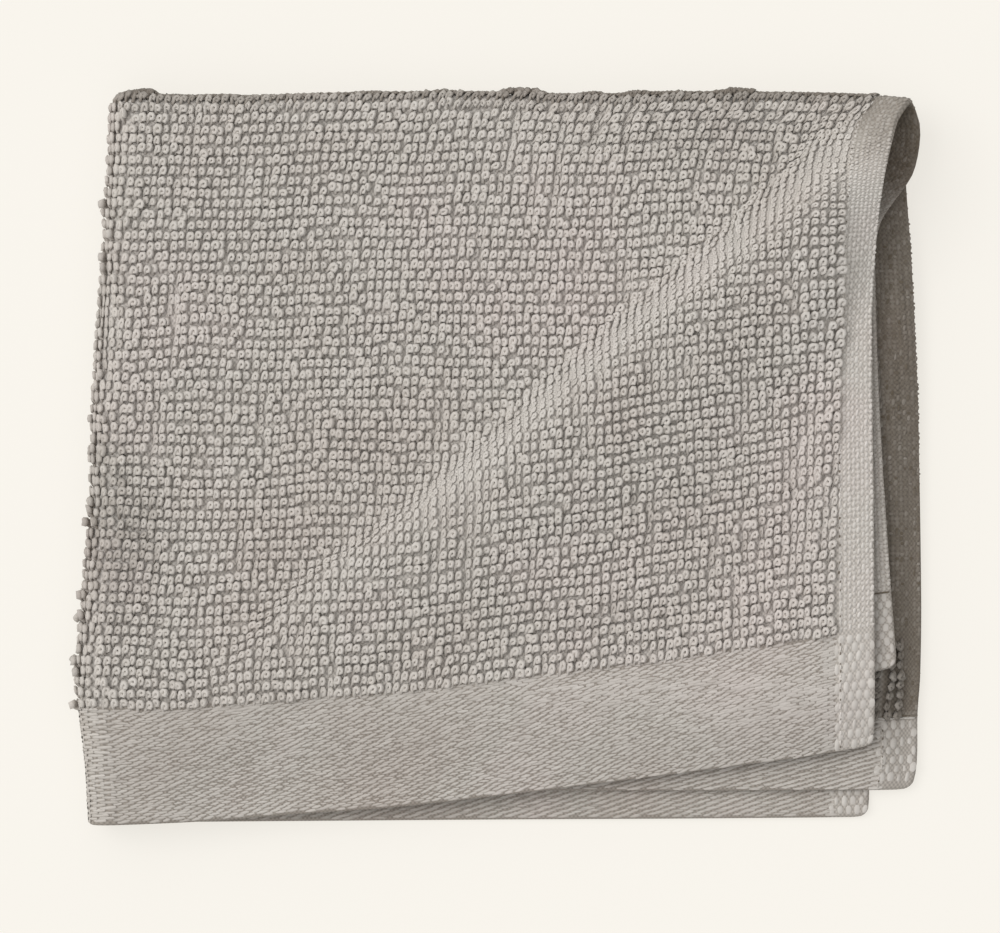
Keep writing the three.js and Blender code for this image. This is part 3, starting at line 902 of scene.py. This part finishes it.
def twill_places(start, end, sign_v, inset_to):
    """Floats of a border, every other row half a float further on, the rows rising a little."""
    rows = int((inset_to + TWILL["tilt"] * (end - start)) / TWILL["along"]) + 2
    columns = int((end - start) / TWILL["across"]) + 2
    row, column = np.meshgrid(np.arange(rows), np.arange(columns), indexing="ij")
    jitter_across, jitter_along = TWILL["jitter"]
    s = start + (column + 0.5 * (row % 2)) * TWILL["across"] + rng.normal(0, jitter_across, row.shape)
    inset = row * TWILL["along"] - TWILL["tilt"] * (end - s) + rng.normal(0, jitter_along, row.shape)
    keep = (s < end) & (inset > TWILL["inset"]) & (inset < inset_to)
    return s[keep], sign_v * (HALF_LENGTH - inset[keep])


# Floats of the hems: how far in they begin, and how far out of line they are
BRICK_INSET = 0.15
BRICK_JITTER = (0.05, 0.09)


def brick_places(weave, sign_u, along_from, along_to, width, offset):
    """Floats of a hem in columns, every other column half a repeat further on."""
    columns = np.arange(0.5 * weave["float"][0], width, weave["across"])
    rows = np.arange(along_from - weave["along"], along_to, weave["along"])
    column, row = np.meshgrid(np.arange(len(columns)), rows, indexing="ij")
    u = HALF_WIDTH - columns[column] - BRICK_INSET
    v = row + ((column % 2) / 2 + offset) * weave["along"]
    keep = (v > along_from) & (v < along_to)
    u = u + rng.normal(0, BRICK_JITTER[0], u.shape)
    v = v + rng.normal(0, BRICK_JITTER[1], v.shape)
    return sign_u * u[keep], v[keep]


# Borders that show: tones, with painted shade darkening the outer border on the left fold's roll, how far
# they stop short, and the part of the bottom layer's inner face in sight
BORDER_TONES = {"outer": 0.62, "left_roll_painted_shade": -0.10, "inner": 0.60, "bottom": 0.54}
BORDER_SIDE_STOP = 0.4
BORDER_STOP = 0.2
BOTTOM_IN_SIGHT = 9


def border_weave():
    wide = HALF_WIDTH - HEM_WIDTH - BORDER_SIDE_STOP
    parts = []
    u, v = twill_places(-wide, wide, 1, BORDER_WIDTH - BORDER_STOP)
    outer_tone = BORDER_TONES["outer"] + BORDER_TONES["left_roll_painted_shade"] * np.exp(-((u / LEFT_ARC) ** 2))
    parts.append(grains(u, v, 1, TWILL, outer_tone, TWILL["tilt"]))
    u, v = twill_places(-wide, -LEFT_ARC, -1, INNER_BORDER - BORDER_STOP)
    parts.append(grains(u, v, 1, TWILL, BORDER_TONES["inner"], TWILL["tilt"]))
    u, v = twill_places(-wide, -LEFT_ARC, 1, BOTTOM_IN_SIGHT)
    parts.append(grains(u, v, -1, TWILL, BORDER_TONES["bottom"], TWILL["tilt"]))
    vertices, quads, tones = stack(parts)
    return make_mesh("border_weave", vertices, quads, WEAVE, {"tone": tones})


# Where the borders begin along the cloth, and the width of a full hem
OUTER_END = HALF_LENGTH - BORDER_WIDTH
SECOND_END = HALF_LENGTH - SECOND_BORDER
INNER_END = HALF_LENGTH - INNER_BORDER
FULL_HEM = HEM_WIDTH + 0.5

# Side hems that show: sign of u, face, from and to along the cloth, width of the plain weave
HEMS = [
    (1, 1, -3, OUTER_END, FULL_HEM),
    (1, -1, -SECOND_END, 1, FULL_HEM),
    (-1, 1, -INNER_END, -THIRD_PILE_FROM, THIRD_HEM),
    (-1, 1, -THIRD_PILE_FROM, -2, FULL_HEM),
    (-1, 1, -2, OUTER_END, FULL_HEM),
]
# Corners where a hem crosses a border: sign of u, sign of v, face, where the border begins, shade, lower on
# the layers below the top as painted shade
HEM_CORNERS = [
    (1, 1, 1, OUTER_END, 0.70),
    (1, -1, -1, SECOND_END, 0.58),
    (-1, -1, 1, INNER_END, 0.62),
    (-1, 1, -1, OUTER_END, 0.62),
    (-1, 1, 1, OUTER_END, 0.55),
]
WEFT_SHADE = 0.88
CORNER_LAP = 0.6
CORNER_STOP = 1.1
CORNER_WIDTH = HEM_WIDTH + 0.4

# Sewing: stitches along the inner side of a hem, and rows of thread where the inner borders begin; near-black
# grains paint the shade in the needle holes, along a notch and under a thread row
STITCH = {"pitch": 1.7, "float": (0.42, 1.05), "rise": 0.18, "round": 0.45, "rim": 0.9}
HOLE = {"float": (0.32, 0.55), "rise": 0.17, "round": 0.5, "rim": 1.0}
NOTCH = {"float": (1.5, 0.42), "rise": 0.26, "round": 0.4, "rim": 1.0}
THREAD = {"float": (1.6, 0.34), "rise": 0.34, "round": 0.4, "rim": 0.9}
# Stitch lines: sign of u, from and to along the cloth, shade, lower on the third layer as painted shade
SEAMS = [
    (1, 0.5, HALF_LENGTH - 1, 0.78),
    (-1, 1 - HALF_LENGTH, -INNER_END, 0.5),
]
SEAM_INSET = 0.05
SEAM_JITTER = (0.05, 0.12)
HOLE_SHARE = 0.6
# Near-black tones for hole, notch and under_thread are painted shade
SEWING_TONES = {"hole": 0.05, "notch": 0.0, "thread": 0.80, "under_thread": 0.02}
THREAD_PITCH = 1.1
THREAD_STOP = 0.6
UNDER_THREAD_SHIFT = (0.4, 0.5)


def sewing():
    """Stitch lines with dark grains of painted shade for needle holes, the thread lines across the inner
    hems, and near-black rows of painted shade along a notch and under the thread.
    """
    parts = []
    for sign_u, start, end, shade in SEAMS:
        v = np.arange(start, end, STITCH["pitch"])
        v = v + rng.normal(0, SEAM_JITTER[1], v.shape)
        u = sign_u * (HALF_WIDTH - HEM_WIDTH + SEAM_INSET) + rng.normal(0, SEAM_JITTER[0], v.shape)
        parts.append(grains(u, v, 1, STITCH, shade))
        some = rng.random(len(v)) < HOLE_SHARE
        parts.append(grains(u[some], v[some] + STITCH["pitch"] / 2, 1, HOLE, SEWING_TONES["hole"]))
    u = np.arange(HALF_WIDTH - HEM_WIDTH, HALF_WIDTH - THREAD_STOP, THREAD_PITCH)
    shift_u, shift_v = UNDER_THREAD_SHIFT
    parts.append(grains(u, np.full(u.shape, -SECOND_END), -1, NOTCH, SEWING_TONES["notch"]))
    parts.append(grains(-u, np.full(u.shape, -INNER_END), 1, THREAD, SEWING_TONES["thread"]))
    below = np.full(u.shape, shift_v - INNER_END)
    parts.append(grains(-u - shift_u, below, 1, NOTCH, SEWING_TONES["under_thread"]))
    return parts


def hem_weave():
    parts = sewing()
    for sign_u, side, start, end, wide in HEMS:
        u, v = brick_places(PLAIN, sign_u, start, end, wide, 0)
        parts.append(grains(u, v, side, PLAIN, hem_light_and_shade(u, v, side), PLAIN["slant"]))
        u, v = brick_places(PLAIN, sign_u, start, end, wide, 0.5)
        parts.append(grains(u, v, side, PLAIN_WEFT, WEFT_SHADE * hem_light_and_shade(u, v, side)))
    for sign_u, sign_v, side, start, shade in HEM_CORNERS:
        u, v = brick_places(COARSE, sign_u, start - CORNER_LAP, HALF_LENGTH - CORNER_STOP, CORNER_WIDTH, 0)
        parts.append(grains(u, sign_v * v, side, COARSE, shade))
    vertices, quads, tones = stack(parts)
    return make_mesh("hem_weave", vertices, quads, WEAVE, {"tone": tones})


# Floor like a light table: most of its brightness is its own, which keeps the shadow faint
FLOOR_COLOUR = (0.25, 0.241, 0.224)
FLOOR_GLOW_COLOUR = (0.705, 0.681, 0.633)
FLOOR_SIZE = 6.0


def ground_floor():
    """Plain pale floor, wide enough for every view."""
    size = FLOOR_SIZE
    mesh = bpy.data.meshes.new("floor")
    corners = [(-size, -size, 0), (size, -size, 0), (size, size, 0), (-size, size, 0)]
    mesh.from_pydata(corners, [], [(0, 1, 2, 3)])
    floor = bpy.data.objects.new("floor", mesh)
    material = bpy.data.materials.new("pale_floor")
    material.use_nodes = True
    shader = material.node_tree.nodes["Principled BSDF"]
    set_inputs(shader, {"Base Color": (*FLOOR_COLOUR, 1), "Roughness": 1.0, "Specular IOR Level": 0})
    set_inputs(shader, {"Emission Color": (*FLOOR_GLOW_COLOUR, 1), "Emission Strength": 1})
    mesh.materials.append(material)
    bpy.context.scene.collection.objects.link(floor)


# Studio: a broad soft light overhead and a little to the left, dim towards the right
SOFT_FROM = (-0.44, 0.14, 0.89)
SOFT_LOW = 0.12
SOFT_HIGH = 1.15
SOFT_COLOUR = (1, 0.995, 0.985)
KEY_FROM = (-0.60, 0.26, 0.85)
KEY_ENERGY = 0.9
KEY_ANGLE = 36


def lights():
    world = bpy.data.worlds.new("studio")
    bpy.context.scene.world = world
    world.use_nodes = True
    nodes = world.node_tree.nodes
    links = world.node_tree.links
    place = nodes.new("ShaderNodeTexCoord")
    toward = nodes.new("ShaderNodeVectorMath")
    toward.operation = "DOT_PRODUCT"
    toward.inputs[1].default_value = Vector(SOFT_FROM).normalized()
    links.new(place.outputs["Generated"], toward.inputs[0])
    spread = nodes.new("ShaderNodeMapRange")
    set_inputs(spread, {"From Min": 0, "From Max": 1, "To Min": SOFT_LOW, "To Max": SOFT_HIGH})
    links.new(toward.outputs["Value"], spread.inputs["Value"])
    back = nodes["Background"]
    back.inputs["Color"].default_value = (*SOFT_COLOUR, 1)
    links.new(spread.outputs["Result"], back.inputs["Strength"])
    key = bpy.data.lights.new("key", "SUN")
    key.energy = KEY_ENERGY
    key.angle = math.radians(KEY_ANGLE)
    lamp = bpy.data.objects.new("key", key)
    lamp.rotation_euler = Vector(KEY_FROM).to_track_quat("Z", "Y").to_euler()
    bpy.context.scene.collection.objects.link(lamp)


# The photograph: 1000 by 933 pixels, seen straight from above
PHOTO_WIDTH = 1000
PIXEL = 0.19
PHOTO_CENTRE = (79.8, -71.8)
SEEN_LEVEL = 11.0
CAMERA_DISTANCE = 1300.0
SENSOR = 36.0
CAMERA_REACH = 100


def camera():
    data = bpy.data.cameras.new("camera")
    data.sensor_width = SENSOR
    data.lens = SENSOR * CAMERA_DISTANCE / (PHOTO_WIDTH * PIXEL)
    data.clip_end = CAMERA_REACH
    view = bpy.data.objects.new("camera", data)
    x, y = np.array(PHOTO_CENTRE) - ORIGIN[:2]
    view.location = (x * MM, y * MM, (CAMERA_DISTANCE + SEEN_LEVEL) * MM)
    bpy.context.scene.collection.objects.link(view)
    bpy.context.scene.camera = view


# Groups of loops: reach past a fold, the third layer's strip in sight, then rings and sides of a loop
PAST_FOLD = 4
STRIP_WIDTH = 11
FINE = (10, 5)
COARSER = (7, 4)
COARSEST = (4, 3)

camera()
ground_floor()
lights()
bpy.context.scene.view_settings.view_transform = "Standard"

sheet = cloth_sheet()
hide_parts("cloth")
roots_u, roots_v = pile_places()
on_top = (roots_u > 0) & (roots_v > TOP_ARC)
under = (roots_u < -LEFT_ARC) & (roots_v > TOP_ARC)
strip_from = HALF_WIDTH - HEM_WIDTH - STRIP_WIDTH
third_strip = (roots_u < -strip_from) & (roots_v <= -TOP_ARC - PAST_FOLD)
rolls = (np.abs(roots_u) <= LEFT_ARC) | (np.abs(roots_v) <= TOP_ARC + PAST_FOLD)
rolls &= (roots_v > -TOP_ARC - PAST_FOLD) & ~on_top & ~under
third = HALF_WIDTH / 3
groups = {
    "pile_top_left": (on_top & (roots_u < third), *FINE, LOOP_HEIGHT),
    "pile_top_middle": (on_top & (roots_u >= third) & (roots_u < 2 * third), *FINE, LOOP_HEIGHT),
    "pile_top_right": (on_top & (roots_u >= 2 * third), *FINE, LOOP_HEIGHT),
    "pile_folds": (rolls | third_strip, *COARSER, LOOP_HEIGHT),
    "pile_under": (under, *COARSEST, UNDER_HEIGHT),
}
pieces = [
    pile(name, roots_u[mask], roots_v[mask], rings, sides, height)
    for name, (mask, rings, sides, height) in groups.items()
]
pieces.append(border_weave())
pieces.append(hem_weave())
